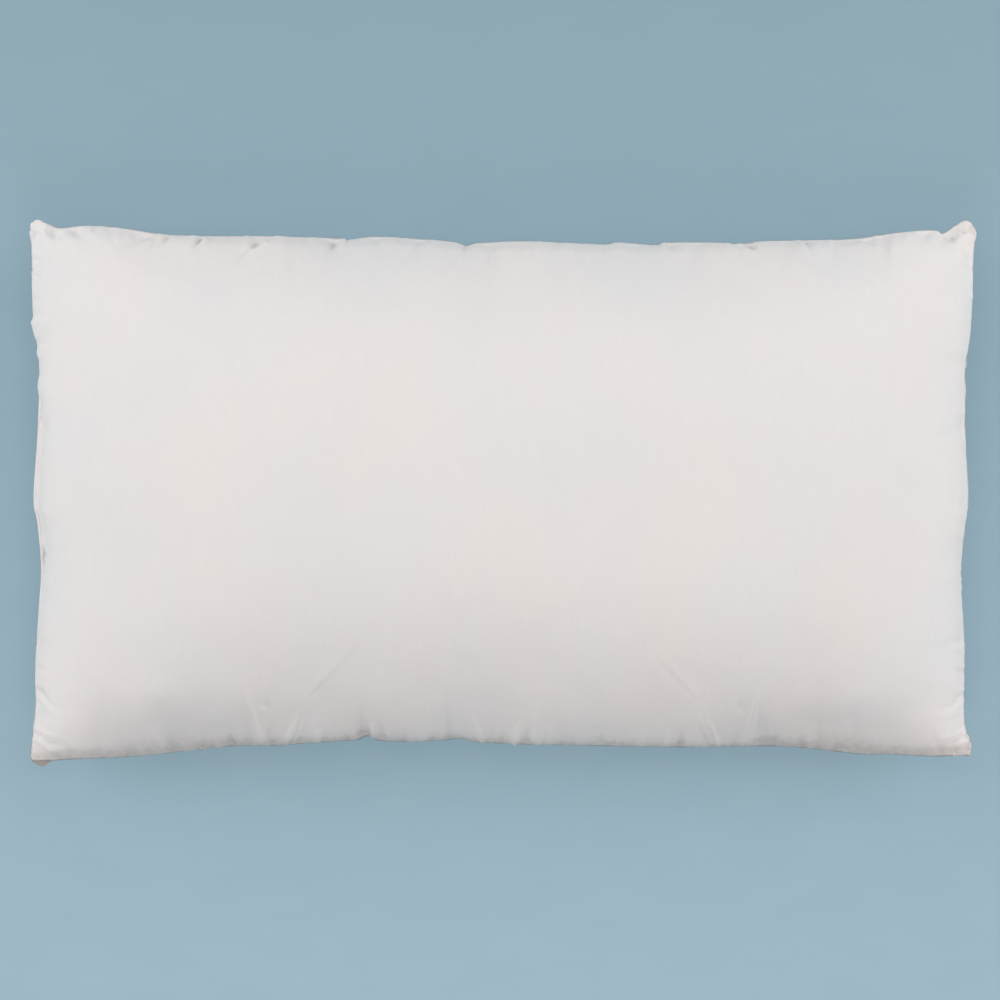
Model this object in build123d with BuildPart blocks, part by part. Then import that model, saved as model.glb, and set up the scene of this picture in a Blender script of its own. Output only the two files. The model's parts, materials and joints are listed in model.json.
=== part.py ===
from build123d import *
import os

# A filled bed pillow, lying flat. Millimetres, +X along its length, +Y across it, +Z up.
# The origin is the middle of the flat area that the pillow rests on.

# Filled size. The outline is the seam's, measured between the corners. The deepest level section
# has lost the share pull_in_lost of the sides' pull-in.
length = 874.0
width = 496.0
loft_height = 150.0
seam_height = 50.0
long_side_pull_in = 14.0
short_side_pull_in = 8.0
pull_in_lost = 0.6
corner_radius = 10.0
corner_radius_growth = 0.28

# Cover. The fabric's thickness includes the fibres that cling to its inside.
fabric = 0.8
lip_width = 4.0
allowance_width = 10.0

# Threads. The seam runs just inside the fold, and the overlock wraps the raw edges. A cut that has
# to leave nothing behind runs on by cut_past.
seam_thread_inset = 0.8
thread_width = 0.5
overlock_width = 4.0
overlock_thickness = 0.5
cut_past = 1.0
closing_inset = 2.4
closing_length = 160.0
stitch_pitch = 4.0
stitch_gap = 0.4
stitch_proud = 0.3

# Care label: a folded tape, sewn in at a slant, that hangs from the seam beside one corner.
label_width = 13.0
label_long_side = 16.0
label_short_side = 3.0
label_thickness = 0.8
label_slant = 45.0
label_droop = 50.0
label_apex_x = -427.0
label_gap = 1.2

# How the cover rises from the seam: (share of the height, inset from the outline).
crown_steps = [(0.35, 14.0), (0.62, 44.0), (0.82, 90.0), (0.94, 138.0), (1.0, 178.0)]
belly_steps = [(0.42, 14.0), (0.80, 40.0), (1.0, 74.0)]
deepest_inset = crown_steps[-1][1]

crown_height = loft_height - seam_height
belly_depth = seam_height


def pillow_outline(inset):
    """One level section: four sides that pull in between rounded corners, less so further in."""
    half_x = length / 2 - inset
    half_y = width / 2 - inset
    pull_share = 1 - pull_in_lost * inset / deepest_inset
    waist_x = half_x - short_side_pull_in * pull_share
    waist_y = half_y - long_side_pull_in * pull_share
    with BuildSketch() as outline:
        with BuildLine():
            ThreePointArc((-half_x, -half_y), (0, -waist_y), (half_x, -half_y))
            ThreePointArc((half_x, -half_y), (waist_x, 0), (half_x, half_y))
            ThreePointArc((half_x, half_y), (0, waist_y), (-half_x, half_y))
            ThreePointArc((-half_x, half_y), (-waist_x, 0), (-half_x, -half_y))
        make_face()
        fillet(outline.vertices(), corner_radius + corner_radius_growth * inset)
    return outline.sketch


def half_pillow(steps, rise, lip_rise, wall):
    """The bulge from the lip's face to the top (rise > 0) or the underside (rise < 0), less a wall."""
    inner_rise = rise - wall if rise > 0 else rise + wall
    with BuildPart() as half:
        with BuildSketch(Plane.XY.offset(seam_height + lip_rise)):
            add(pillow_outline(lip_width + wall))
        for share, inset in steps:
            with BuildSketch(Plane.XY.offset(seam_height + share * inner_rise)):
                add(pillow_outline(inset + wall))
        loft()
    return half.part


def edge_band(outer_inset, inner_inset, low, high):
    """A flat band that follows the outline, between two insets and two heights from the seam."""
    with BuildPart() as band:
        with BuildSketch(Plane.XY.offset(seam_height + low)):
            add(pillow_outline(outer_inset))
            add(pillow_outline(inner_inset), mode=Mode.SUBTRACT)
        extrude(amount=high - low)
    return band.part


# Four layers of fabric make the lip, two of them above the seam and two below.
lip_half = 2 * fabric
crown_outside = half_pillow(crown_steps, crown_height, lip_half, 0)
crown_inside = half_pillow(crown_steps, crown_height, lip_half, fabric)
belly_outside = half_pillow(belly_steps, -belly_depth, -lip_half, 0)
belly_inside = half_pillow(belly_steps, -belly_depth, -lip_half, fabric)

# The seam's thread holds the two allowances together at the fold.
with BuildPart() as seam_stitching:
    add(edge_band(seam_thread_inset, seam_thread_inset + thread_width, -fabric, fabric))

# The overlock is a hem of thread round the raw edges of both allowances.
overlock_start = allowance_width - overlock_width
with BuildPart() as overlock_stitching:
    wrap = fabric + overlock_thickness
    add(edge_band(overlock_start, allowance_width + overlock_thickness, -wrap, wrap))
    add(edge_band(overlock_start - cut_past, allowance_width, -fabric, fabric), mode=Mode.SUBTRACT)

# The closing row goes through the four layers of the lip, in the middle of the left side.
waist_x = -(length / 2 - short_side_pull_in) + closing_inset
stitch_count = int(closing_length / stitch_pitch)
stitch_length = stitch_pitch - stitch_gap
with BuildPart() as closing_stitching:
    with BuildSketch(Plane.YZ.offset(waist_x - thread_width / 2)):
        with Locations((0, seam_height)):
            with GridLocations(stitch_pitch, 0, stitch_count, 1):
                with Locations((0, lip_half + stitch_proud / 2)):
                    Rectangle(stitch_length, stitch_proud)
                with Locations((0, -lip_half - stitch_proud / 2)):
                    Rectangle(stitch_length, stitch_proud)
                with Locations((stitch_length / 2 - thread_width / 2, 0)):
                    Rectangle(thread_width, 2 * lip_half)
    extrude(amount=thread_width)

# Each panel: the bulging cover, the lip at the edge, and the allowance that is turned in.
with BuildPart() as top_panel:
    add(crown_outside)
    add(crown_inside, mode=Mode.SUBTRACT)
    add(edge_band(0, lip_width + fabric, 0, lip_half))
    add(edge_band(lip_width, allowance_width, 0, fabric))
    add(seam_stitching.part, mode=Mode.SUBTRACT)
    add(closing_stitching.part, mode=Mode.SUBTRACT)

with BuildPart() as bottom_panel:
    add(belly_outside)
    add(belly_inside, mode=Mode.SUBTRACT)
    add(edge_band(0, lip_width + fabric, -lip_half, 0))
    add(edge_band(lip_width, allowance_width, -fabric, 0))
    add(seam_stitching.part, mode=Mode.SUBTRACT)
    add(closing_stitching.part, mode=Mode.SUBTRACT)

# The fibre fills the cover, round the allowances and their overlock.
with BuildPart() as fibre_fill:
    add(crown_inside)
    add(belly_inside)
    with BuildSketch(Plane.XY.offset(seam_height - lip_half)):
        add(pillow_outline(lip_width + fabric))
    extrude(amount=2 * lip_half)
    add(edge_band(0, allowance_width, -fabric, fabric), mode=Mode.SUBTRACT)
    add(
        edge_band(overlock_start, allowance_width + overlock_thickness, -wrap, wrap),
        mode=Mode.SUBTRACT,
    )

# The label turns about the seam's edge. Its local X runs along the seam, and its local Y hangs away.
seam_pull_in = long_side_pull_in * (1 - (label_apex_x / (length / 2)) ** 2)
label_hinge = Vector(label_apex_x, -(width / 2 - seam_pull_in) - label_gap, seam_height)
label_normal = Vector(0, 0, -1).rotate(Axis.X, label_droop)
label_plane = Plane(origin=label_hinge, x_dir=(1, 0, 0), z_dir=label_normal)
long_side = Vector(1, 0).rotate(Axis.Z, -label_slant) * label_long_side
short_side = Vector(1, 0).rotate(Axis.Z, -label_slant) * label_short_side
folded_end = Vector(-1, 0).rotate(Axis.Z, label_slant) * label_width
apex = Vector(0, -long_side.Y)
with BuildPart() as care_label:
    with BuildSketch(label_plane):
        with BuildLine():
            Polyline(apex + long_side, apex, apex + folded_end, apex + folded_end + short_side, close=True)
        make_face()
    extrude(amount=label_thickness / 2, both=True)

pieces = {
    "top_panel": top_panel,
    "bottom_panel": bottom_panel,
    "fibre_fill": fibre_fill,
    "seam_stitching": seam_stitching,
    "overlock_stitching": overlock_stitching,
    "closing_stitching": closing_stitching,
    "care_label": care_label,
}

os.makedirs("parts", exist_ok=True)
for name, piece in pieces.items():
    piece.part.label = name
    export_step(piece.part, f"parts/{name}.step")
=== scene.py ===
import json
import math

import bpy
import numpy as np
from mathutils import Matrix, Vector


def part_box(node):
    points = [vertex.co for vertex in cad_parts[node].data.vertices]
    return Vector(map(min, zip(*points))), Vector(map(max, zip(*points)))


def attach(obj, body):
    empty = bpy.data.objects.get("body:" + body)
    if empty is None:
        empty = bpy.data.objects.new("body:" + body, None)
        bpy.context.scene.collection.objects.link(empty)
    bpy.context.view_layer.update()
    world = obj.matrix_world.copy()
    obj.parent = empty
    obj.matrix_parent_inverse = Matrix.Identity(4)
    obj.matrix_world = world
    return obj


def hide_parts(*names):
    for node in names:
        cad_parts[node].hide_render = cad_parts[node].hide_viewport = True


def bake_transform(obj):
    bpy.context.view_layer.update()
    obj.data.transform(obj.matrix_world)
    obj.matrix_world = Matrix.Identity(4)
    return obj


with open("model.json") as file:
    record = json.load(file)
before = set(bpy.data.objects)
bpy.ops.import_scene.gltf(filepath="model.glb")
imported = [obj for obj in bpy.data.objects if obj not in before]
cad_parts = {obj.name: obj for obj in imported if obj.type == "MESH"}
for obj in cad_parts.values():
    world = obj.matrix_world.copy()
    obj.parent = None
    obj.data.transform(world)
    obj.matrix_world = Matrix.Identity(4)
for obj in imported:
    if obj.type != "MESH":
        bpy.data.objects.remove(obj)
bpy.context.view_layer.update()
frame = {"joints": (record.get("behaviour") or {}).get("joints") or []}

# ---------------------------------------------------------------- sizes, in metres unless named otherwise
MM = 0.001
UP = np.array([0, 0, 1.0])

# the cut panels
CUT_LENGTH = 0.914
CUT_WIDTH = 0.508
CUT_CORNER = 0.014
ALLOWANCE = 0.010

# the cloth simulation, and how much of its gathers is kept
SIM_SEED = 3
SIM_STEP = 0.0094
SIM_FRAMES = 20
SIM_CROWN = 0.080
SIM_GAP = 0.001
SIM_JITTER = 0.0004
SIM_LEAST_RUN = 0.35  # a share of the flat distance
CALM_PASSES = 2
DETAIL_PASSES = 20
DETAIL_GAIN = 0.7
DETAIL_FADE = 0.010

# the fine grids: (up to this distance across the panel, the step between its lines there)
REFINEMENTS = 3
COLUMN_STEP = 0.0019
ROW_STEPS = [(0.050, 0.0016), (0.120, 0.0024), (0.390, 0.0045), (0.470, 0.0024), (CUT_WIDTH, 0.0016)]

# how the surfaces follow the outline
BROAD_PASSES = 500
SIDE_PASSES = 300
OUTLINE_FADE = 0.020
NOTCH_FADE = 0.012

# the crown and the underside: the powers that shape them between the seams
CROWN_ALONG = (4.6, 0.76)
CROWN_ACROSS = (2.6, 0.72)
BELLY_RUN = 0.085
BELLY_POWER = 1.7
FLOOR_GAP = 0.0002
PANEL_GAP = 0.0002

# the seam's own height
SEAM_WAVE = 0.0009
LEVEL_REACH = 0.035
EAR = (0.434, 0.247)
EAR_LIFT = 0.005
EAR_REACH = 0.012
SAG = 0.010
SAG_PLACE = 0.31
SAG_REACH = 0.07
SAG_START = 0.18
SAG_RUN = 0.05

# the fold at the seam, and the lip where both panels lie flat on each other
LIP = 0.0003
LIP_REACH = 0.05
CLOSING_LIP = 0.0038
CLOSING_HALF = 0.080
CLOSING_TAIL = 0.012
CLOSING_FADE = 0.020
FOLD_RADIUS = 0.0005
FOLD_RUN = 0.0015
ALLOWANCE_GAP = 0.0003
ALLOWANCE_RINGS = [(0.05, 0.5), (0.12, 1.0), (0.5, 1.0), (1.0, 1.0)]  # shares of its width and of its gap
ALLOWANCE_PASSES = 60

# the filling: grid lines left out at the rim, every how many are kept, and its gaps to the cover
FILL_MARGIN = 8
FILL_STEP = 4
FILL_GAP = 0.002
FILL_SLACK = 0.0008
FILL_BULGE = 1.004  # a share

# threads
THREAD_RADIUS = 0.00022
STITCH_PITCH = 0.0032
STITCH_INSET = 0.0016
STITCH_HALF = 0.42  # a share of the pitch
SEAM_PASSES = 12
OVERLOCK_INSET = 0.0085
OVERLOCK_HALF = 0.002
OVERLOCK_TURN = 8  # points in one turn
CLOSING_THREAD_RADIUS = 0.00024
CLOSING_PITCH = 0.004
CLOSING_INSET = 0.0024

# the label
LABEL_DROOP = 50.0  # degrees
LABEL_ROOT = 0.0045
LABEL_THICKNESS = 0.0004
LABEL_PUFF = 0.0002
LABEL_PUFF_RUN = 0.012
LABEL_CURL = 0.0006
LABEL_GRID = (14, 30)  # quads across and along each layer
LABEL_BEND = (-0.0005, 0.003)  # where the droop starts past the seam, and how far it takes

# the materials
YARN_PITCH = 0.00062
RIB_PITCH = 0.0006
# the painted shade beside the near seam: its width, how much wider it grows towards the near corners, where
# along the seam that widening is strongest, and how far the widening spreads
SHADE_BAND_WIDTH = 0.014
SHADE_BAND_WIDENING = 0.034
SHADE_BAND_PLACE = 0.325
SHADE_BAND_SPREAD = 0.075
FLOOR_FALL = 0.45

# the stage
CAMERA_PLACE = (-0.0023, -0.0083, 5.0)
VIEW_WIDTH = 0.926
LAMPS = [  # (name, place, size, watts, colour)
    ("left_lamp", (-2.4, 0.9, 1.3), 1.6, 37, (1, 1, 1)),
    ("right_lamp", (2.4, 0.9, 1.3), 1.6, 37, (1, 1, 1)),
    ("overhead", (0.0, 0.25, 3.2), 2.6, 17, (1, 1, 1)),
    ("front_fill", (0.0, -2.0, 1.7), 1.0, 12, (1.0, 0.93, 0.90)),
    ("back_fill", (0.0, 2.0, 1.5), 1.0, 3, (1.0, 0.92, 0.88)),
]
WORLD_COLOUR = (1.0, 0.965, 0.95)
WORLD_STRENGTH = 0.355
FLOOR_HALF = 6.0

SEAM_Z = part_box("top_panel")[0].z
CROWN_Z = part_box("top_panel")[1].z
label_joint = frame["joints"][0]
LABEL_HINGE = Vector(label_joint["pos_m"])

# The seam's outline from above, in millimetres. Each side runs from corner to corner.
FAR_SIDE = [
    (-436.5, 248), (-430, 251), (-420, 247.5), (-409, 243.5), (-388, 246), (-355, 244), (-320, 239),
    (-292, 236.5), (-230, 236), (-152, 234.5), (-143, 232.5), (-117, 236), (-75, 233.5), (-47, 231),
    (-33, 227.5), (-20, 230), (21, 231.5), (60, 230), (95, 228.5), (108, 230.5), (141, 228), (154, 230.5),
    (205, 230), (215, 228.5), (240, 231.5), (276, 232.5), (320, 233.5), (355, 238), (397, 242), (407, 238.5),
    (413, 241), (426, 250.5), (433.5, 248),
]
NEAR_SIDE = [
    (-435.5, -249), (-420, -250), (-400, -248.5), (-347, -246.5), (-299, -242), (-252, -236.5), (-213, -236),
    (-178, -233.5), (-150, -231.5), (-134, -230.5), (-124, -227), (-112, -231.5), (-76, -232), (-52, -230.5),
    (-40, -229), (-22, -232.5), (16, -234.5), (68, -235.5), (143, -237), (195, -237), (248, -236.5),
    (282, -238.5), (312, -242), (335, -244.5), (359, -244), (397, -246), (424, -245), (433.5, -245),
]
LEFT_SIDE = [
    (-436.5, 248), (-438, 240), (-436.5, 225), (-436, 183), (-434, 150), (-430, 129), (-429, 100), (-431, 47),
    (-434.5, -8), (-431, -30), (-427.5, -72), (-430, -111), (-433, -161), (-433, -201), (-437, -242),
    (-435.5, -249),
]
RIGHT_SIDE = [
    (433.5, 248), (438.5, 238), (436.5, 223), (435.5, 186), (433.5, 146), (428.5, 113), (428.5, 84),
    (429, 38), (431.5, -6), (428.5, -32), (424.5, -78), (427.5, -129), (428, -156), (427.5, -201),
    (429, -219), (434, -234), (433.5, -245),
]

# Folds on the upper panel, in millimetres: (points from the strong end, height, half width).
# They are given for the right-hand half, and the left-hand half mirrors them.
MIRRORED_FOLDS = [
    # the hollow at the ear, and the folds that run in from the far seam
    ([(416, 240), (409, 230)], -4.2, 4.6),
    ([(395, 241), (385, 230)], -2.8, 4.4),
    ([(383, 241), (372, 232)], 1.6, 3.0),
    ([(324, 237), (337, 233), (350, 226)], -4.6, 4.4),
    ([(318, 237), (337, 229)], 2.6, 2.3),
    ([(309, 235), (318, 227)], -2.0, 2.4),
    ([(304, 233), (313, 225)], 1.6, 2.2),
    ([(279, 234), (288, 221)], -3.0, 2.6),
    ([(274, 232), (281, 223)], 2.3, 2.2),
    ([(227, 230), (236, 222)], -4.2, 4.4),
    ([(219, 229), (234, 219), (244, 205)], 2.5, 2.2),
    ([(156, 232), (159, 217)], -3.4, 4.6),
    ([(148, 232), (152, 222)], 1.8, 2.2),
    # the folds that run in from the short seams
    ([(431, 72), (410, 76)], 0.7, 3.0),
    ([(431, 60), (412, 52)], -0.6, 3.0),
    ([(431, 24), (412, 36)], 0.8, 3.5),
    ([(433, -10), (409, -14)], -1.2, 1.9),
    ([(433, -3), (409, -8)], 0.6, 2.5),
    ([(429, -76), (416, -79)], -1.0, 2.0),
    # the corner by the near seam
    ([(430, -185), (416, -198), (403, -201)], -2.0, 2.0),
    ([(431, -191), (416, -205), (402, -208)], 1.2, 3.0),
    ([(434, -219), (420, -225), (404, -229)], 1.5, 2.0),
    ([(434, -225), (418, -234), (405, -236)], -1.4, 1.7),
    ([(434, -228), (420, -240), (408, -243)], 1.3, 2.0),
    # the two long ridges by the near seam, with the dimple between them
    ([(222, -236), (230, -205), (238, -176), (239, -150)], 2.1, 1.9),
    ([(233, -232), (238, -205)], -1.8, 3.6),
    ([(213, -236), (218, -220)], -1.8, 3.4),
    ([(193, -232), (182, -209), (175, -190)], 2.2, 1.7),
    ([(199, -232), (188, -210), (180, -191)], 1.9, 1.7),
    ([(218, -198), (218, -190)], -1.2, 3.2),
    ([(177, -186), (150, -158), (117, -117)], 0.6, 2.0),
    ([(174, -189), (147, -161), (115, -120)], -0.5, 2.4),
    # short hollows along the near seam
    ([(278, -240), (275, -224)], -2.6, 4.0),
    ([(311, -243), (306, -222)], -2.4, 4.5),
    ([(295, -241), (292, -228)], 1.4, 2.4),
    ([(262, -238), (263, -226)], 1.4, 2.2),
    ([(251, -236), (252, -220)], -2.6, 3.5),
    ([(165, -234), (167, -220)], -2.6, 4.0),
    ([(152, -233), (155, -222)], 1.4, 2.2),
    ([(92, -234), (90, -222)], -2.0, 3.2),
    ([(66, -234), (63, -218)], -2.8, 4.5),
]
SINGLE_FOLDS = [
    ([(-129, -228), (-128, -206)], -4.2, 5.0),
    ([(-111, -230), (-110, -210)], -3.4, 4.6),
    ([(-120, -228), (-120, -216)], 1.4, 2.2),
    ([(-18, -233), (-27, -214), (-31, -204)], 2.0, 2.4),
    ([(10, -235), (18, -210)], 2.0, 2.4),
    ([(20, -235), (25, -214)], -2.0, 3.0),
    ([(0, -235), (0, -220)], -1.8, 4.0),
    ([(41, -236), (46, -208)], 1.6, 2.4),
    ([(-33, 231), (-33, 217)], -1.4, 4.0),
]
FOLD_END_SHARE = 0.15

# Random gathers all round the seam, in millimetres: (seed and strength on the upper panel, the same on the
# lower one, half widths, lengths, distances between them).
GATHERS = [
    ((11, 1.5), (12, 1.5), (1.8, 3.4), (8, 26), (6, 16)),
    ((21, 2.4), (22, 1.2), (4.5, 9.0), (22, 60), (26, 60)),
]
GATHER_TURN = 0.35

# Broad unevenness of the filling: (seed, height)
UPPER_LUMPS = (5, 0.0011)
LOWER_LUMPS = (5, 0.0004)
FILL_LUMPS = (8, 0.0006)
LUMP_WAVES = 9
LUMP_LENGTHS = (0.11, 0.26)
LUMPS_FADE = 0.06
UPPER_LIFT_FADE = 0.0025
LOWER_LIFT_FADE = 0.009


# ---------------------------------------------------------------- the flat pattern and its inflation
def make_pattern():
    """The panel's cut shape as a grid of flat points, with its corners slightly rounded."""
    columns = round(CUT_LENGTH / SIM_STEP)
    rows = round(CUT_WIDTH / SIM_STEP)
    x, y = np.meshgrid(
        np.linspace(-CUT_LENGTH / 2, CUT_LENGTH / 2, columns + 1),
        np.linspace(-CUT_WIDTH / 2, CUT_WIDTH / 2, rows + 1),
        indexing="ij",
    )
    past_x = np.maximum(np.abs(x) - (CUT_LENGTH / 2 - CUT_CORNER), 0)
    past_y = np.maximum(np.abs(y) - (CUT_WIDTH / 2 - CUT_CORNER), 0)
    reach = np.maximum(np.hypot(past_x, past_y), 1e-9)
    shrink = np.maximum(past_x, past_y) / reach
    both = (past_x > 0) & (past_y > 0)
    x = np.where(both, np.sign(x) * (CUT_LENGTH / 2 - CUT_CORNER + past_x * shrink), x)
    y = np.where(both, np.sign(y) * (CUT_WIDTH / 2 - CUT_CORNER + past_y * shrink), y)
    return np.dstack([x, y])


def drawn_in(flat, height, axis):
    """Flat coordinates moved together so that the cloth's length over the crown is kept."""
    flat, height = np.swapaxes(flat, 0, axis), np.swapaxes(height, 0, axis)
    run, rise = np.diff(flat, axis=0), np.diff(height, axis=0)
    kept = np.sqrt(np.maximum(run**2 - rise**2, (SIM_LEAST_RUN * run) ** 2))
    moved = np.concatenate([np.zeros_like(flat[:1]), np.cumsum(kept, axis=0)])
    return np.swapaxes(moved - moved[-1:] / 2, 0, axis)


def inflate(pattern):
    """Sews two flat panels along their edges, fills them by cloth simulation, and returns both surfaces.

    The cloth starts as a crown, drawn in at its edges, and its length at rest is the flat pattern's, so the
    spare cloth along the seams gathers as it does on a filled pillow. There is no gravity.
    """
    x, y = pattern[:, :, 0], pattern[:, :, 1]
    columns, rows = x.shape[0] - 1, x.shape[1] - 1
    draw = np.random.default_rng(SIM_SEED)
    crown = SIM_CROWN * crown_share(2 * x / CUT_LENGTH, 2 * y / CUT_WIDTH)
    near_x, near_y = drawn_in(x, crown, 0), drawn_in(y, crown, 1)
    inside = np.zeros(x.shape, bool)
    inside[1:-1, 1:-1] = True
    flat, start, faces, number = [], [], [], {}
    for side in (1, -1):
        z = side * (crown + SIM_GAP) + SIM_JITTER * draw.normal(size=x.shape)
        for i in range(columns + 1):
            for j in range(rows + 1):
                if inside[i, j]:
                    number[side, i, j] = len(flat)
                    flat.append((x[i, j], y[i, j], side * SIM_GAP))
                    start.append((near_x[i, j], near_y[i, j], z[i, j]))
                elif side == 1:
                    number[1, i, j] = number[-1, i, j] = len(flat)
                    flat.append((x[i, j], y[i, j], 0.0))
                    start.append((near_x[i, j], near_y[i, j], 0.0))
        for i in range(columns):
            for j in range(rows):
                quad = [number[side, a, b] for a, b in ((i, j), (i + 1, j), (i + 1, j + 1), (i, j + 1))]
                faces.append(quad[::side])
    mesh = bpy.data.meshes.new("inflating")
    mesh.from_pydata(start, [], faces)
    cover = bpy.data.objects.new("inflating", mesh)
    bpy.context.scene.collection.objects.link(cover)
    cover.shape_key_add(name="start")
    cut_shape = cover.shape_key_add(name="cut")
    cut_shape.data.foreach_set("co", np.array(flat).ravel())
    cut_shape.value = 0
    cloth = cover.modifiers.new("Cloth", "CLOTH")
    cloth.settings.rest_shape_key = cut_shape
    cloth.settings.quality = 5
    cloth.settings.mass = 0.1
    cloth.settings.air_damping = 2
    cloth.settings.tension_stiffness = 40
    cloth.settings.compression_stiffness = 40
    cloth.settings.shear_stiffness = 8
    cloth.settings.bending_stiffness = 0.25
    cloth.settings.use_pressure = True
    cloth.settings.uniform_pressure_force = 1.0
    cloth.settings.effector_weights.gravity = 0
    cloth.collision_settings.use_collision = False
    cloth.point_cache.frame_end = SIM_FRAMES
    for step in range(1, SIM_FRAMES + 1):
        bpy.context.scene.frame_set(step)
    shown = cover.evaluated_get(bpy.context.evaluated_depsgraph_get())
    now = np.zeros(len(flat) * 3)
    shown.data.vertices.foreach_get("co", now)
    now = now.reshape(-1, 3)
    bpy.data.objects.remove(cover)
    bpy.context.scene.frame_set(1)
    surfaces = []
    for side in (1, -1):
        order = [number[side, i, j] for i in range(columns + 1) for j in range(rows + 1)]
        surfaces.append(now[order].reshape(columns + 1, rows + 1, 3))
    return surfaces


# ---------------------------------------------------------------- grids of points
def refine_axis(grid):
    """Doubles a grid along its first axis with a smooth four-point rule."""
    padded = np.concatenate([2 * grid[:1] - grid[1:2], grid, 2 * grid[-1:] - grid[-2:-1]])
    middle = (9 * (padded[1:-2] + padded[2:-1]) - padded[:-3] - padded[3:]) / 16
    out = np.empty((2 * len(grid) - 1,) + grid.shape[1:])
    out[0::2] = grid
    out[1::2] = middle
    return out


def refine(grid):
    """Doubles a grid along both of its axes."""
    grid = refine_axis(grid)
    return np.swapaxes(refine_axis(np.swapaxes(grid, 0, 1)), 0, 1)


def smooth(grid, passes):
    """Evens out a grid's inside points. Its rim stays."""
    grid = grid.copy()
    for _ in range(passes):
        near = grid[:-2, 1:-1] + grid[2:, 1:-1] + grid[1:-1, :-2] + grid[1:-1, 2:]
        grid[1:-1, 1:-1] = 0.5 * grid[1:-1, 1:-1] + 0.125 * near
    return grid


def smooth_line(line, passes, closed=False):
    """Evens out a line of points. An open line's ends stay."""
    line = line.copy()
    for _ in range(passes):
        if closed:
            line = 0.5 * line + 0.25 * (np.roll(line, 1, 0) + np.roll(line, -1, 0))
        else:
            line[1:-1] = 0.5 * line[1:-1] + 0.25 * (line[:-2] + line[2:])
    return line


def ease(value):
    """A soft step from 0 at 0 to 1 at 1."""
    value = np.clip(value, 0, 1)
    return value * value * (3 - 2 * value)


def along(points, count):
    """Evenly spaced points on a smooth curve through the given ones."""
    points = np.array(points, float) * MM
    padded = np.vstack([2 * points[0] - points[1], points, 2 * points[-1] - points[-2]])
    share = np.linspace(0, 1, 9)[:-1, None]
    curve = []
    for p0, p1, p2, p3 in zip(padded, padded[1:], padded[2:], padded[3:]):
        curve.append(
            0.5 * (2 * p1 + (p2 - p0) * share + (2 * p0 - 5 * p1 + 4 * p2 - p3) * share**2
                   + (3 * p1 - p0 - 3 * p2 + p3) * share**3)
        )
    curve = np.vstack(curve + [points[-1:]])
    run = np.concatenate([[0], np.cumsum(np.linalg.norm(np.diff(curve, axis=0), axis=1))])
    wanted = np.linspace(0, run[-1], count)
    return np.column_stack([np.interp(wanted, run, curve[:, k]) for k in range(2)])


def fit_outline(grid):
    """Moves an even grid of points so that its rim, seen from above, is the seam's outline."""
    columns, rows = grid.shape[:2]
    s = np.linspace(0, 1, columns)[:, None, None]
    t = np.linspace(0, 1, rows)[None, :, None]
    sides = {
        "near": along(NEAR_SIDE, columns) - grid[:, 0, :2],
        "far": along(FAR_SIDE, columns) - grid[:, -1, :2],
        "left": along(LEFT_SIDE, rows)[::-1] - grid[0, :, :2],
        "right": along(RIGHT_SIDE, rows)[::-1] - grid[-1, :, :2],
    }
    broad = {name: smooth_line(move, BROAD_PASSES) for name, move in sides.items()}
    near, far = broad["near"][:, None, :], broad["far"][:, None, :]
    left, right = broad["left"][None, :, :], broad["right"][None, :, :]
    corners = (1 - t) * ((1 - s) * near[:1] + s * near[-1:]) + t * ((1 - s) * far[:1] + s * far[-1:])
    move = (1 - t) * near + t * far + (1 - s) * left + s * right - corners
    inward = {
        "near": t * CUT_WIDTH, "far": (1 - t) * CUT_WIDTH,
        "left": s * CUT_LENGTH, "right": (1 - s) * CUT_LENGTH,
    }
    for name, distance in inward.items():
        fine = sides[name] - broad[name]
        fine = fine[:, None, :] if name in ("near", "far") else fine[None, :, :]
        move = move + np.exp(-distance / OUTLINE_FADE) * fine
    fitted = grid.copy()
    fitted[:, :, :2] += move
    return fitted


def edge_distance(pattern):
    """How far each point of the cloth is from the nearest seam, on the flat."""
    from_end = CUT_LENGTH / 2 - np.abs(pattern[:, :, 0])
    from_long = CUT_WIDTH / 2 - np.abs(pattern[:, :, 1])
    straight = np.minimum(from_end, from_long)
    past_end, past_long = np.maximum(CUT_CORNER - from_end, 0), np.maximum(CUT_CORNER - from_long, 0)
    rounded = CUT_CORNER - np.hypot(past_end, past_long)
    in_corner = np.maximum(from_end, from_long) < CUT_CORNER
    return np.maximum(np.where(in_corner, rounded, straight), 0)


def line_places(length, steps):
    """Places of grid lines along a side, as shares of it: each step holds up to its own distance."""
    places = [0.0]
    for until, step in steps:
        count = max(1, round((until - places[-1]) / step))
        places += list(np.linspace(places[-1], until, count + 1)[1:])
    return np.array(places) / length


def resample(grid, column_places, row_places):
    """The grid at other lines, given as shares of its two sides."""
    for places in (column_places, row_places):
        at = places * (len(grid) - 1)
        low = np.minimum(at.astype(int), len(grid) - 2)
        share = (at - low)[:, None, None]
        grid = np.swapaxes(grid[low] * (1 - share) + grid[low + 1] * share, 0, 1)
    return grid


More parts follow.
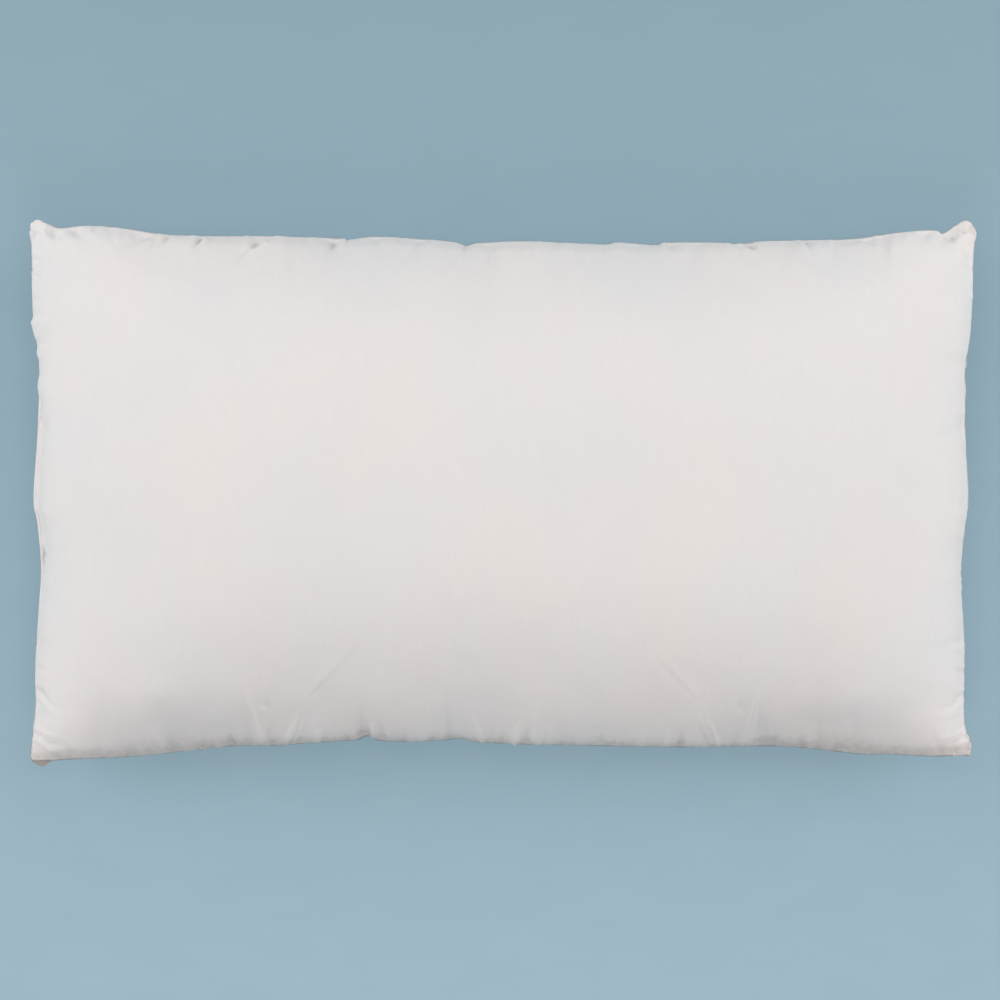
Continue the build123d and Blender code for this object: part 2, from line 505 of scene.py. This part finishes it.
def seam_height(x, y):
    """The seam's height: a wave, level by the label, lifted at the far ears and lower by the near corners.

    The wave is a sum of sines of unlike lengths, so that it doesn't repeat.
    """
    wave = 1.6 * np.sin(x / 0.023 + 1.0) * np.cos(y / 0.05)
    wave += 1.3 * np.sin(x / 0.0113 + 2.0 * np.sin(y / 0.09))
    wave += 1.5 * np.sin(y / 0.018 + 0.7) * np.cos(x / 0.3)
    wave += 1.8 * np.sin(x / 0.061 + 0.4)
    level = np.exp(-((x - LABEL_HINGE.x) ** 2 + (y - LABEL_HINGE.y) ** 2) / LEVEL_REACH**2)
    ear = np.exp(-((np.abs(x) - EAR[0]) ** 2 + (y - EAR[1]) ** 2) / EAR_REACH**2)
    sag = np.exp(-(((np.abs(x) - SAG_PLACE) / SAG_REACH) ** 2)) * ease((-y - SAG_START) / SAG_RUN)
    return SEAM_Z + (SEAM_WAVE * wave - SAG * sag) * (1 - level) + EAR_LIFT * ear


def crown_share(across_x, across_y):
    """How high the filled crown stands, from 0 at the seams to 1, by its place between them (-1 to 1)."""
    share = 1.0
    for across, (inner, outer) in ((across_x, CROWN_ALONG), (across_y, CROWN_ACROSS)):
        share = share * (1 - np.clip(np.abs(across), 0, 1) ** inner) ** outer
    return share


def lip_width(grid):
    """How far the two panels lie flat on each other inside the fold: more where the closing row is."""
    x, y = grid[:, :, 0], grid[:, :, 1]
    closing = ease((CLOSING_TAIL + CLOSING_HALF - np.abs(y)) / CLOSING_FADE) * (x < 0)
    return LIP + (CLOSING_LIP - LIP) * closing


def past_lip(distance, lip, reach):
    """A distance from the seam, counted from the lip's inner edge. It catches up with itself at reach."""
    spread = np.clip((distance - lip) / (reach - lip), 0, None)
    return np.where(spread < 1, reach * spread ** (1 - 0.5 * lip / reach), distance)


def from_side(line, rim):
    """Distances from one side. Only close to it do they follow the small notches of its rim."""
    calm = smooth_line(rim, SIDE_PASSES)
    return line - calm - (rim - calm) * np.exp(-np.abs(line - rim) / NOTCH_FADE)


def settle(grid, upper):
    """Gives a surface its heights: a full crown above the seam, or a flat rest below it.

    The heights that the grid comes with are the simulated gathers alone.
    """
    x, y, simulated = grid[:, :, 0], grid[:, :, 1], grid[:, :, 2]
    left, right = from_side(x, x[0]), -from_side(x, x[-1])
    near, far = from_side(y.T, y[:, 0]).T, -from_side(y.T, y[:, -1]).T
    from_x = past_lip(np.minimum(left, right), lip_width(grid), LIP_REACH)
    from_y = past_lip(np.minimum(near, far), LIP, LIP_REACH)
    seam = seam_height(x, y)
    if upper:
        share = crown_share(1 - 2 * from_x / (left + right), 1 - 2 * from_y / (near + far))
        height = seam + (CROWN_Z - seam) * share
    else:
        run_x, run_y = np.clip(from_x / BELLY_RUN, 0, 1), np.clip(from_y / BELLY_RUN, 0, 1)
        share = (1 - (1 - run_x) ** BELLY_POWER) * (1 - (1 - run_y) ** BELLY_POWER)
        height = seam * (1 - share)
    settled = grid.copy()
    settled[:, :, 2] = height + DETAIL_GAIN * simulated * ease(np.minimum(from_x, from_y) / DETAIL_FADE)
    return settled


def normals_of(grid):
    """Upward unit normals of a grid of points."""
    across = np.cross(np.gradient(grid, axis=0), np.gradient(grid, axis=1))
    length = np.maximum(np.linalg.norm(across, axis=2, keepdims=True), 1e-12)
    return across / length


def fold(lift, grid, points, height, half_width):
    """Adds one ridge (height > 0) or hollow to the lift of a surface, from millimetres.

    It is strongest at its first point and fades to a small share of that at its last.
    """
    path = np.array(points, float) * MM
    width = half_width * MM
    x, y = grid[:, :, 0], grid[:, :, 1]
    low, high = path.min(0) - 3 * width, path.max(0) + 3 * width
    close = (x > low[0]) & (x < high[0]) & (y > low[1]) & (y < high[1])
    if not close.any():
        return
    spot = np.column_stack([x[close], y[close]])
    legs = np.linalg.norm(np.diff(path, axis=0), axis=1)
    nearest = np.full(len(spot), np.inf)
    share = np.zeros(len(spot))
    run = 0.0
    for start, end, leg in zip(path, path[1:], legs):
        t = np.clip((spot - start) @ (end - start) / leg**2, 0, 1)
        gap = np.linalg.norm(spot - start - t[:, None] * (end - start), axis=1)
        better = gap < nearest
        nearest = np.where(better, gap, nearest)
        share = np.where(better, (run + t * leg) / legs.sum(), share)
        run += leg
    lift[close] += height * MM * np.exp(-((nearest / width) ** 2)) * (1 - (1 - FOLD_END_SHARE) * ease(share))


def gathers(lift, grid, seed, strength, widths, lengths, spacing):
    """Random folds that run in from the seam all round, where the stitches draw the cloth up."""
    draw = np.random.default_rng(seed)
    loop, inward = even_rim(grid, MM)
    place = 0
    while place < len(loop):
        turn = draw.normal(0, GATHER_TURN)
        way = inward[place]
        way = np.array([way[0] - turn * way[1], way[1] + turn * way[0]])
        start = loop[place, :2] / MM
        height = draw.choice([-1, -1, 1]) * draw.uniform(0.3, 1.0) * strength
        length = draw.uniform(*lengths)
        fold(lift, grid, [start - way, start + way * length], height, draw.uniform(*widths))
        place += int(draw.uniform(*spacing))


def lumps(grid, seed, strength):
    """Broad soft unevenness of the filling."""
    draw = np.random.default_rng(seed)
    x, y = grid[:, :, 0], grid[:, :, 1]
    lift = np.zeros(x.shape)
    for _ in range(LUMP_WAVES):
        length = draw.uniform(*LUMP_LENGTHS)
        turn = draw.uniform(0, math.pi)
        along_wave = x * math.cos(turn) + y * math.sin(turn)
        lift += np.sin(2 * math.pi * along_wave / length + draw.uniform(0, 6.3))
    return lift * strength / math.sqrt(LUMP_WAVES)


def rim_of(grid):
    """The rim in order: near side, right side, far side, left side."""
    return np.concatenate([grid[:-1, 0], grid[-1, :-1], grid[:0:-1, -1], grid[0, :0:-1]])


def even_rim(grid, pitch, calm=6):
    """The rim as evenly spaced points, and the inward direction at each."""
    loop = rim_of(grid)
    loop = np.vstack([loop, loop[:1]])
    run = np.concatenate([[0], np.cumsum(np.linalg.norm(np.diff(loop, axis=0), axis=1))])
    wanted = np.linspace(0, run[-1], round(run[-1] / pitch), endpoint=False)
    even = np.column_stack([np.interp(wanted, run, loop[:, k]) for k in range(3)])
    soft = smooth_line(even, calm, closed=True)
    tangent = np.roll(soft, -2, 0) - np.roll(soft, 2, 0)
    inward = np.column_stack([-tangent[:, 1], tangent[:, 0]])
    return even, inward / np.linalg.norm(inward, axis=1)[:, None]


# ---------------------------------------------------------------- meshes
def add_piece(name, points, faces, material):
    """A smooth object of one mesh and one material. The faces are lists of point numbers."""
    mesh = bpy.data.meshes.new(name)
    mesh.from_pydata(np.asarray(points).tolist(), [], faces)
    mesh.polygons.foreach_set("use_smooth", [True] * len(mesh.polygons))
    mesh.materials.append(material)
    piece = bpy.data.objects.new(name, mesh)
    bpy.context.scene.collection.objects.link(piece)
    return piece


def store_cloth(piece, coordinates):
    """Keeps the flat cloth's own coordinates on a piece, for its weave."""
    attribute = piece.data.attributes.new("cloth", "FLOAT_VECTOR", "POINT")
    attribute.data.foreach_set("vector", np.asarray(coordinates, np.float32).ravel())


def quads_between(first, second):
    """Quads that join two closed rings of point numbers."""
    return np.stack([first, np.roll(first, -1), np.roll(second, -1), second], -1)


def grid_quads(number):
    """Quads between a grid of point numbers."""
    return np.stack([number[:-1, :-1], number[1:, :-1], number[1:, 1:], number[:-1, 1:]], -1).reshape(-1, 4)


def allowance_rings(grid, upper):
    """The turned-in edge of a panel: rings of points that run in from the fold, between the two panels."""
    loop = rim_of(grid)
    calm = loop.copy()
    calm[:, :2] = smooth_line(loop[:, :2], ALLOWANCE_PASSES, closed=True)
    tangent = np.roll(calm[:, :2], -4, 0) - np.roll(calm[:, :2], 4, 0)
    inward = np.column_stack([-tangent[:, 1], tangent[:, 0]]) / np.linalg.norm(tangent, axis=1)[:, None]
    rings = []
    for share, gap in ALLOWANCE_RINGS:
        ring = loop + (calm - loop) * ease(share * 1.5)
        ring[:, :2] += inward * share * ALLOWANCE
        ring[:, 2] = seam_height(ring[:, 0], ring[:, 1]) + gap * ALLOWANCE_GAP * (1 if upper else -1)
        rings.append(ring)
    return rings


def add_panel(name, grid, pattern, upper, material):
    """A panel of the cover: its filled surface, its fold at the seam and its turned-in allowance."""
    total = grid.shape[0] * grid.shape[1]
    number = np.arange(total).reshape(grid.shape[:2])
    faces, points, cloth = [grid_quads(number)], [grid.reshape(-1, 3)], [pattern.reshape(-1, 2)]
    before, rim_cloth = rim_of(number), rim_of(pattern)
    outward = np.sign(rim_cloth) * (np.abs(rim_cloth) > np.array([CUT_LENGTH, CUT_WIDTH]) / 2 - CUT_CORNER)
    rings = allowance_rings(grid, upper)
    for step, ring in enumerate(rings, 1):
        now = np.arange(total, total + len(ring))
        faces.append(quads_between(before, now)[:, ::-1])
        points.append(ring)
        cloth.append(rim_cloth + outward * step * ALLOWANCE / len(rings))
        before = now
        total += len(ring)
    faces = np.vstack(faces)
    if not upper:
        faces = faces[:, ::-1]
    piece = add_piece(name, np.vstack(points), faces.tolist(), material)
    flat = np.vstack(cloth)
    store_cloth(piece, np.column_stack([flat, np.zeros(len(flat))]))
    return piece


def add_tubes(name, paths, radius, material, sides=6):
    """Lengths of thread: round tubes along open paths, drawn in at both ends."""
    points, faces = [], []
    total = 0
    for path in paths:
        path = np.asarray(path, float)
        tangent = np.gradient(path, axis=0)
        tangent /= np.linalg.norm(tangent, axis=1)[:, None]
        side = np.cross(tangent, (0.3, 0.2, 1.0))
        side /= np.linalg.norm(side, axis=1)[:, None]
        up = np.cross(side, tangent)
        girth = np.full(len(path), radius)
        girth[[0, -1]] *= 0.35
        turn = np.arange(sides) * 2 * math.pi / sides
        ring = side[:, None] * np.cos(turn)[None, :, None] + up[:, None] * np.sin(turn)[None, :, None]
        points.append((path[:, None] + ring * girth[:, None, None]).reshape(-1, 3))
        number = total + np.arange(len(path) * sides).reshape(len(path), sides)
        for a, b in zip(number, number[1:]):
            faces += quads_between(a, b).tolist()
        faces += [number[0][::-1].tolist(), number[-1].tolist()]
        total += len(path) * sides
    return add_piece(name, np.vstack(points), faces, material)


# ---------------------------------------------------------------- materials
class Look:
    """A material, with short ways to add the nodes that this scene uses."""

    def __init__(self, name, colour, roughness, sheen):
        self.material = bpy.data.materials.new(name)
        self.material.use_nodes = True
        self.nodes, self.links = self.material.node_tree.nodes, self.material.node_tree.links
        self.surface({
            "Base Color": (*colour, 1), "Roughness": roughness,
            "Sheen Weight": sheen, "Sheen Roughness": 0.45, "Specular IOR Level": 0.25,
        })

    def feed(self, node, inputs):
        """Gives a node's inputs, by name or number, a value or a link from another node."""
        for name, value in inputs.items():
            if isinstance(value, bpy.types.NodeSocket):
                self.links.new(value, node.inputs[name])
            else:
                node.inputs[name].default_value = value

    def surface(self, inputs):
        self.feed(self.nodes["Principled BSDF"], inputs)

    def add(self, kind, inputs, **settings):
        node = self.nodes.new("ShaderNode" + kind)
        for name, value in settings.items():
            setattr(node, name, value)
        self.feed(node, inputs)
        return node

    def maths(self, operation, *values):
        return self.add("Math", dict(enumerate(values)), operation=operation).outputs[0]

    def split(self, vector):
        """A vector's X and Y."""
        node = self.add("SeparateXYZ", {0: vector})
        return node.outputs["X"], node.outputs["Y"]

    def cloth(self):
        """The flat cloth's own coordinates."""
        return self.add("Attribute", {}, attribute_name="cloth").outputs["Vector"]

    def place(self):
        """The piece's own coordinates."""
        return self.nodes.new("ShaderNodeTexCoord").outputs["Object"]

    def noise(self, vector, stretch, detail):
        """Noise with its features 1 / stretch long in each direction."""
        mapped = self.add("Mapping", {"Vector": vector, "Scale": stretch}).outputs["Vector"]
        return self.add("TexNoise", {"Vector": mapped, "Scale": 1.0, "Detail": detail}).outputs["Fac"]

    def ramp(self, share, low, high, low_at=0.0, high_at=1.0):
        node = self.add("ValToRGB", {"Fac": share})
        for element, at, colour in zip(node.color_ramp.elements, (low_at, high_at), (low, high)):
            element.position = at
            element.color = (*colour, 1)
        return node.outputs["Color"]

    def spread(self, value, low, high, from_low=0.0, from_high=1.0, curve="LINEAR"):
        inputs = {"Value": value, "From Min": from_low, "From Max": from_high, "To Min": low, "To Max": high}
        return self.add("MapRange", inputs, interpolation_type=curve).outputs["Result"]

    def mix(self, first, second, share, blend="MIX"):
        inputs = {"Factor": share, "A": first, "B": second}
        return self.add("Mix", inputs, data_type="RGBA", blend_type=blend).outputs["Result"]

    def bump(self, height, strength, distance):
        node = self.add("Bump", {"Height": height, "Strength": strength, "Distance": distance})
        self.surface({"Normal": node.outputs["Normal"]})


def cotton_material():
    """White plain-weave cotton: fine yarns, uneven slubs along the warp, faint warm and cool patches.

    Beside the near seam a painted shade makes it darker and warmer, in a band that widens towards the two
    near corners: it stands in for the shade where the cloth turns down to the seam.
    """
    look = Look("cotton_percale", (0.78, 0.77, 0.765), 0.85, 0.12)
    cloth = look.cloth()
    x, y = look.split(cloth)
    yarn = 2 * math.pi / YARN_PITCH
    warp, weft = (look.maths("SINE", look.maths("MULTIPLY", run, yarn)) for run in (x, y))
    slub = look.noise(cloth, (900, 42, 1), 3.0)
    cross_slub = look.noise(cloth, (60, 700, 1), 2.0)
    crumple = look.noise(cloth, (130, 95, 1), 4.0)
    patches = look.noise(cloth, (9, 7, 1), 2.0)
    tint = look.ramp(patches, (0.772, 0.766, 0.766), (0.800, 0.770, 0.758), 0.38, 0.62)
    shade = look.mix(tint, look.spread(slub, 0.978, 1.0, 0.3, 0.7), 1.0, "MULTIPLY")
    # painted shade: a darker, warmer band beside the near seam, wider towards the two near corners and broken
    # up by the crumple noise
    off = look.maths("DIVIDE", look.maths("SUBTRACT", look.maths("ABSOLUTE", x), SHADE_BAND_PLACE), SHADE_BAND_SPREAD)
    square = look.maths("MULTIPLY", look.maths("MULTIPLY", off, off), -1.0)
    wider = look.maths("MULTIPLY", look.maths("EXPONENT", square), SHADE_BAND_WIDENING)
    reach = look.maths("ADD", wider, SHADE_BAND_WIDTH)
    from_seam = look.maths("ADD", y, CUT_WIDTH / 2)
    painted_shade = look.spread(look.maths("DIVIDE", from_seam, reach), 1.0, 0.0, curve="SMOOTHSTEP")
    # the painted shade's darker, warmer colour is mixed into the cloth's own colour here
    colour = look.mix(shade, (0.46, 0.425, 0.40, 1), look.maths("MULTIPLY", painted_shade, crumple))
    look.surface({"Base Color": colour, "Roughness": look.spread(slub, 0.78, 0.92)})
    height = look.maths("MULTIPLY", look.maths("MULTIPLY", warp, weft), 0.00003)
    for part, amount in ((slub, 0.00016), (cross_slub, 0.00008), (crumple, 0.0009)):
        height = look.maths("ADD", height, look.maths("MULTIPLY", part, amount))
    look.bump(height, 0.55, 1.0)
    return look.material


def thread_material():
    """Twisted white polyester thread."""
    look = Look("sewing_thread", (0.80, 0.795, 0.78), 0.5, 0.1)
    look.bump(look.noise(look.place(), (2600, 2600, 2600), 1.0), 0.5, 0.0001)
    return look.material


def fibre_material():
    """Loose crimped polyester fibre."""
    look = Look("polyester_fibre", (0.86, 0.86, 0.85), 0.95, 0.3)
    place = look.place()
    tufts = look.maths("MULTIPLY", look.noise(place, (60, 60, 60), 5.0), 0.006)
    strands = look.maths("MULTIPLY", look.noise(place, (900, 300, 600), 3.0), 0.0012)
    look.bump(look.maths("ADD", tufts, strands), 0.7, 1.0)
    return look.material


def label_material():
    """Blank greige woven tape with a fine rib across it."""
    look = Look("label_tape", (0.49, 0.45, 0.41), 0.6, 0.15)
    cloth = look.cloth()
    rib = look.maths("SINE", look.maths("MULTIPLY", look.split(cloth)[1], 2 * math.pi / RIB_PITCH))
    grain = look.noise(cloth, (2400, 500, 1), 2.0)
    look.surface({"Base Color": look.ramp(grain, (0.43, 0.39, 0.35), (0.55, 0.51, 0.465))})
    look.bump(look.maths("ADD", rib, grain), 0.5, 0.00008)
    return look.material


def floor_material():
    """Pale blue-grey backdrop paper with a faint mottle, a little darker towards its far side.

    It glows a little, so that shadows on it stay soft.
    """
    look = Look("backdrop_paper", (0.16, 0.23, 0.27), 0.9, 0.0)
    place = look.place()
    mottle = look.noise(place, (14, 32, 1), 4.0)
    tint = look.ramp(mottle, (0.262, 0.382, 0.450), (0.300, 0.422, 0.488))
    near = look.spread(look.split(place)[1], 1.0, 0.0, -FLOOR_FALL, FLOOR_FALL)
    glow = look.mix(tint, (0.57, 0.60, 0.61, 1), look.maths("SUBTRACT", 1.0, near), "MULTIPLY")
    look.surface({"Emission Color": glow, "Emission Strength": 0.645})
    return look.material


# ---------------------------------------------------------------- camera, light and floor
def add_lamp(name, place, size, watts, colour):
    """A square lamp that points at the origin."""
    lamp = bpy.data.objects.new(name, bpy.data.lights.new(name, "AREA"))
    lamp.data.size = size
    lamp.data.energy = watts
    lamp.data.color = colour
    lamp.location = place
    lamp.rotation_euler = (-Vector(place)).to_track_quat("-Z", "Y").to_euler()
    bpy.context.scene.collection.objects.link(lamp)


def set_stage():
    """The camera straight above, the lamps, the world's light and the floor."""
    scene = bpy.context.scene
    scene.view_settings.view_transform = "Standard"
    camera = bpy.data.objects.new("camera", bpy.data.cameras.new("camera"))
    scene.collection.objects.link(camera)
    camera.location = CAMERA_PLACE
    camera.data.lens = camera.data.sensor_width * (CAMERA_PLACE[2] - SEAM_Z) / VIEW_WIDTH
    camera.data.clip_end = 50
    scene.camera = camera
    for lamp in LAMPS:
        add_lamp(*lamp)
    world = bpy.data.worlds.new("world")
    scene.world = world
    world.use_nodes = True
    world.node_tree.nodes["Background"].inputs["Color"].default_value = (*WORLD_COLOUR, 1)
    world.node_tree.nodes["Background"].inputs["Strength"].default_value = WORLD_STRENGTH
    edge = [(x * FLOOR_HALF, y * FLOOR_HALF, 0) for x, y in ((-1, -1), (1, -1), (1, 1), (-1, 1))]
    add_piece("floor", edge, [(0, 1, 2, 3)], floor_material())


# ---------------------------------------------------------------- the object
def make_surfaces():
    """Both filled surfaces of the cover, as fine grids, with the cloth's flat coordinates."""
    pattern = make_pattern()
    top, bottom = inflate(pattern)
    column_places = line_places(CUT_LENGTH, [(CUT_LENGTH, COLUMN_STEP)])
    row_places = line_places(CUT_WIDTH, ROW_STEPS)
    surfaces = []
    for simulated, upper in ((top, True), (bottom, False)):
        surface = smooth(simulated, CALM_PASSES)
        surface[:, :, 2] -= smooth(surface, DETAIL_PASSES)[:, :, 2]
        for _ in range(REFINEMENTS):
            surface = refine(surface)
        surfaces.append(resample(settle(fit_outline(surface), upper), column_places, row_places))
    top, bottom = surfaces
    for _ in range(REFINEMENTS):
        pattern = refine(pattern)
    pattern = resample(pattern, column_places, row_places)
    depth = edge_distance(pattern)
    for surface, upper in ((top, True), (bottom, False)):
        lift = ease(depth / LUMPS_FADE) * lumps(surface, *(UPPER_LUMPS if upper else LOWER_LUMPS))
        for for_upper, for_lower, widths, lengths, spacing in GATHERS:
            seed, strength = for_upper if upper else for_lower
            gathers(lift, surface, seed, strength, widths, lengths, spacing)
        if upper:
            for points, height, half_width in MIRRORED_FOLDS:
                fold(lift, surface, points, height, half_width)
                fold(lift, surface, [(-x, y) for x, y in points], height, half_width)
            for points, height, half_width in SINGLE_FOLDS:
                fold(lift, surface, points, height, half_width)
        lip = lip_width(surface)
        lift *= ease((depth - lip) / ((UPPER_LIFT_FADE if upper else LOWER_LIFT_FADE) + 2 * (lip - LIP)))
        surface += (1 if upper else -1) * normals_of(surface) * lift[:, :, None]
    rounding = FOLD_RADIUS * np.sqrt(np.clip(depth / FOLD_RUN, 0, 1))[:, :, None] * UP
    top += rounding
    bottom -= rounding
    bottom[:, :, 2] = np.maximum(bottom[:, :, 2], FLOOR_GAP)
    # where the two surfaces would cross beside the seam, each gives way by half
    crossing = np.maximum(bottom - top + PANEL_GAP, 0)[:, :, 2] * (depth > 0)
    top[:, :, 2] += crossing / 2
    bottom[:, :, 2] -= crossing / 2
    return top, bottom, pattern


def make_fill(top, bottom, material):
    """One closed mass of fibre that stops short of the cover and its allowances."""
    inner = slice(FILL_MARGIN, -FILL_MARGIN, FILL_STEP)
    upper = (top - normals_of(top) * FILL_GAP)[inner, inner]
    lower = (bottom + normals_of(bottom) * FILL_GAP)[inner, inner]
    upper[:, :, 2] += lumps(upper, *FILL_LUMPS) - FILL_SLACK
    count = upper.shape[0] * upper.shape[1]
    number = np.arange(count).reshape(upper.shape[:2])
    middle = (rim_of(upper) + rim_of(lower)) / 2
    middle[:, :2] *= FILL_BULGE
    ring = np.arange(2 * count, 2 * count + len(middle))
    faces = np.vstack([
        grid_quads(number), grid_quads(number)[:, ::-1] + count,
        quads_between(rim_of(number), ring)[:, ::-1], quads_between(ring, rim_of(number) + count)[:, ::-1],
    ])
    points = np.vstack([upper.reshape(-1, 3), lower.reshape(-1, 3), middle])
    return add_piece("fibre_fill_mass", points, faces.tolist(), material)


def seam_line(top):
    """The seam all round as evenly spaced points, a calmer line beside it, and the ways along and inward."""
    even, inward = even_rim(top, STITCH_PITCH, SEAM_PASSES)
    calm = smooth_line(even, SEAM_PASSES, closed=True)
    for line in (even, calm):
        line[:, 2] = seam_height(line[:, 0], line[:, 1])
    flat = np.column_stack([inward, np.zeros(len(inward))])
    tangent = np.column_stack([inward[:, 1], -inward[:, 0], np.zeros(len(inward))])
    return even, calm, tangent, flat


def make_seam_stitching(top, material):
    """The joining seam: stitch after stitch on both faces of the two allowances, just inside the fold."""
    even, _, tangent, inward = seam_line(top)
    half = STITCH_HALF * STITCH_PITCH
    cloth = ALLOWANCE_GAP + 0.0001
    arch = [(-half, 0.0), (-0.8 * half, cloth), (0.8 * half, cloth), (half, 0.0)]
    paths = []
    for side in (1, -1):
        for spot, way, inner in zip(even, tangent, inward):
            base = spot + inner * STITCH_INSET
            paths.append([base + way * run + UP * side * height for run, height in arch])
    return add_tubes("seam_thread", paths, THREAD_RADIUS, material, sides=5)


def make_overlock(top, material):
    """The overlock: one thread wound round the raw edges of both allowances."""
    _, calm, _, inward = seam_line(top)
    step = np.arange(len(calm) * OVERLOCK_TURN)
    phase = step * 2 * math.pi / OVERLOCK_TURN
    which = step / OVERLOCK_TURN
    at = np.arange(len(calm) + 1)
    line = np.column_stack([np.interp(which, at, np.append(calm[:, k], calm[0, k])) for k in range(3)])
    inner = np.column_stack([np.interp(which, at, np.append(inward[:, k], inward[0, k])) for k in range(3)])
    path = line + inner * (OVERLOCK_INSET + OVERLOCK_HALF * np.cos(phase))[:, None]
    path[:, 2] += (ALLOWANCE_GAP + 0.0004) * np.sin(phase)
    return add_tubes("overlock_thread", [path], THREAD_RADIUS, material, sides=4)


def surface_height(grid, x, y):
    """The height of a surface above a point near its left side, from its nearest points."""
    left = grid[:40]
    gap = np.hypot(left[:, :, 0] - x, left[:, :, 1] - y)
    nearest = np.argsort(gap, axis=None)[:4]
    weight = 1 / (gap.ravel()[nearest] + 1e-6)
    return float((left[:, :, 2].ravel()[nearest] * weight).sum() / weight.sum())


def make_closing(top, bottom, material):
    """The topstitched row that closes the opening, seen on both faces of the lip on the left side."""
    low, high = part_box("closing_stitching")
    count = round((high.y - low.y) / CLOSING_PITCH)
    pitch = (high.y - low.y) / count
    edge = top[0, :, :2]
    # one stitch: its ends go into the cloth, and its middle lies on it
    arch = [(-0.45, -0.0003), (-0.36, 0.00012), (0.36, 0.00012), (0.45, -0.0003)]
    paths = []
    for number in range(count):
        y = low.y + pitch * (number + 0.5)
        x = np.interp(y, edge[:, 1], edge[:, 0]) + CLOSING_INSET
        for surface, side in ((top, 1), (bottom, -1)):
            path = []
            for share, rise in arch:
                place = y + share * pitch
                path.append((x, place, surface_height(surface, x, place) + side * rise))
            paths.append(path)
    return add_tubes("closing_thread", paths, CLOSING_THREAD_RADIUS, material)


def make_label(material):
    """A blank tape folded in two, sewn in aslant, which hangs from the seam by the near corner on the left.

    It is laid out in its own plane, with X along the seam and Y outwards from the hinge, and its size is its
    CAD box's. It comes with the tape's width, length and area on the flat.
    """
    low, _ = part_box("care_label")
    tip = Vector((0.0, math.hypot(LABEL_HINGE.z - low.z, LABEL_HINGE.y - low.y)))
    width = Vector((low.x - LABEL_HINGE.x, low.x - LABEL_HINGE.x)).length
    along_tape = Vector((1, -1)).normalized()
    fold_way = Vector((-1, -1)).normalized()
    droop = math.radians(LABEL_DROOP)
    columns, rows = LABEL_GRID
    points, cloth = [], []
    for layer in (1, -1):
        for i in range(columns + 1):
            side = i / columns
            edge = tip + fold_way * width * side
            length = (edge.y + LABEL_ROOT) / -along_tape.y
            for j in range(rows + 1):
                run = j / rows * length
                flat = edge + along_tape * run
                out = max(flat.y, 0)
                bulge = LABEL_PUFF * math.sin(math.pi * min(1, run / LABEL_PUFF_RUN)) * (flat.y > 0)
                thick = min(0.5 * LABEL_THICKNESS, 0.8 * math.sqrt(run * LABEL_THICKNESS)) + bulge
                curl = LABEL_CURL * (out / tip.y) ** 2 * (2 * side - 1) ** 2
                turn = droop * ease((flat.y - LABEL_BEND[0]) / LABEL_BEND[1])
                lying = Vector((flat.x, -out * math.cos(turn) - min(flat.y, 0), curl - out * math.sin(turn)))
                normal = Vector((0, -math.sin(turn), math.cos(turn)))
                points.append(LABEL_HINGE + (lying + normal * layer * thick))
                cloth.append((side * width, layer * run, 0))
    number = np.arange(len(points)).reshape(2, columns + 1, rows + 1)
    front, back = number
    tape_fold = np.stack([front[:-1, 0], front[1:, 0], back[1:, 0], back[:-1, 0]], -1)
    faces = np.vstack([grid_quads(front.T), grid_quads(back.T)[:, ::-1], tape_fold])
    label = add_piece("label_tape_folded", points, faces.tolist(), material)
    store_cloth(label, cloth)
    long_edge = (tip.y + LABEL_ROOT) / -along_tape.y
    short_edge = (tip.y + width * fold_way.y + LABEL_ROOT) / -along_tape.y
    return label, width, 2 * long_edge, width * (long_edge + short_edge)


set_stage()
top, bottom, pattern = make_surfaces()
cotton, thread, fibre, tape = cotton_material(), thread_material(), fibre_material(), label_material()

casing_top = add_panel("casing_top", top, pattern, True, cotton)
casing_bottom = add_panel("casing_bottom", bottom, pattern, False, cotton)
for piece, node in ((casing_top, "top_panel"), (casing_bottom, "bottom_panel")):
    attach(piece, "pillow")
    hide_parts(node)

fill = make_fill(top, bottom, fibre)
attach(fill, "pillow")
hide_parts("fibre_fill")

for piece, node in (
    (make_seam_stitching(top, thread), "seam_stitching"),
    (make_overlock(top, thread), "overlock_stitching"),
    (make_closing(top, bottom, thread), "closing_stitching"),
):
    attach(piece, "pillow")
    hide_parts(node)

label, label_width, label_length, label_area = make_label(tape)
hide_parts("care_label")
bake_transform(label)
